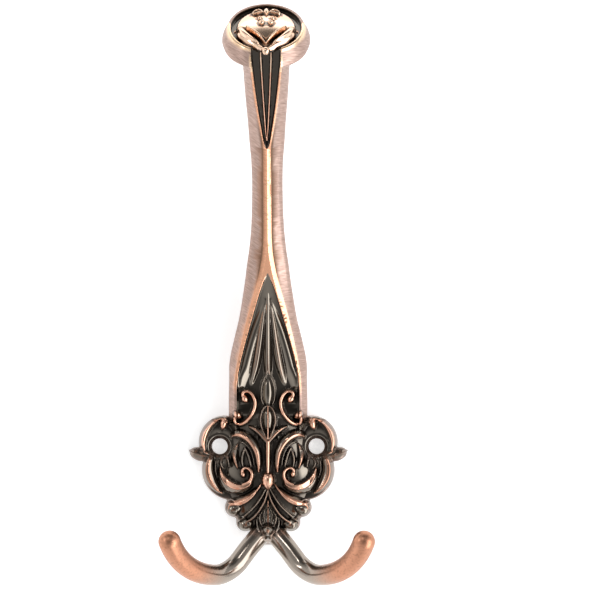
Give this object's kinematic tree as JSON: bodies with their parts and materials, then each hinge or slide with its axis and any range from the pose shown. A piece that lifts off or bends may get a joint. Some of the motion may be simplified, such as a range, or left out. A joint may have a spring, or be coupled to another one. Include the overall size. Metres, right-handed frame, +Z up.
{
  "type": "wall hook",
  "caption": "Ornate cast wall hook: a long upper arm that curves forwards to a round knob, over a scrollwork plate with screw holes and a pair of lower prongs.",
  "frame": {"origin": "midway between the two screw holes, on the wall face", "axes": "+Z up the wall, -Y out of the wall towards the viewer, +X to the right when facing the hook"},
  "size_m": [0.0596, 0.0493, 0.1625],
  "materials": {
    "antique_copper": "antique copper plate on a zinc casting: dark in the recesses, polished on the ridges, brushed on the arm's flanks"
  },
  "bodies": {
    "root": {"hook_casting": "antique_copper"}
  },
  "joints": []
}
